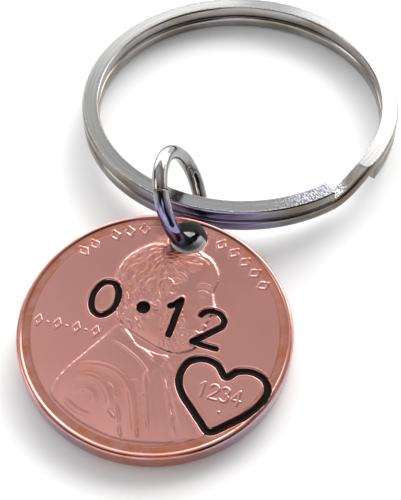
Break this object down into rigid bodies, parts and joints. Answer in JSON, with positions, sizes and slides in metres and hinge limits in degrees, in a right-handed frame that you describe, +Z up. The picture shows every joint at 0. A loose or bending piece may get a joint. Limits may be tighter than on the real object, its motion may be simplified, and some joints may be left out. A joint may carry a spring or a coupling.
{
  "type": "penny keychain",
  "caption": "Drilled copper coin with a stamped heart, carried on a round jump ring that hangs on a split key ring.",
  "frame": {"origin": "middle of the keychain's box, on the surface that it lies on", "axes": "+Z up from the surface, +Y from the coin towards the split ring, +X to the right when the coin is nearest"},
  "size_m": [0.0282, 0.044, 0.0073],
  "materials": {
    "copper_plate": "bright copper plate, handled",
    "plated_wire": "bright plated wire",
    "nickel_steel": "bright nickel plate over ground steel",
    "black_enamel": "black enamel fill, satin"
  },
  "bodies": {
    "split_ring": {"split_ring": "nickel_steel"},
    "jump_ring": {"jump_ring": "plated_wire"},
    "coin": {"coin": "copper_plate"}
  },
  "joints": [
    {"name": "jump_ring_swing", "type": "hinge", "parent": "split_ring", "child": "jump_ring", "pos_m": [-0.00227, -0.00184, 0.00227], "axis": [0.9455, -0.325, 0.0198], "range_deg": [-90, 90]},
    {"name": "coin_travel", "type": "hinge", "parent": "jump_ring", "child": "coin", "pos_m": [-0.00292, -0.00191, 0.00363], "axis": [-0.9002, 0.1073, -0.4221], "range_deg": [0, 60]}
  ]
}
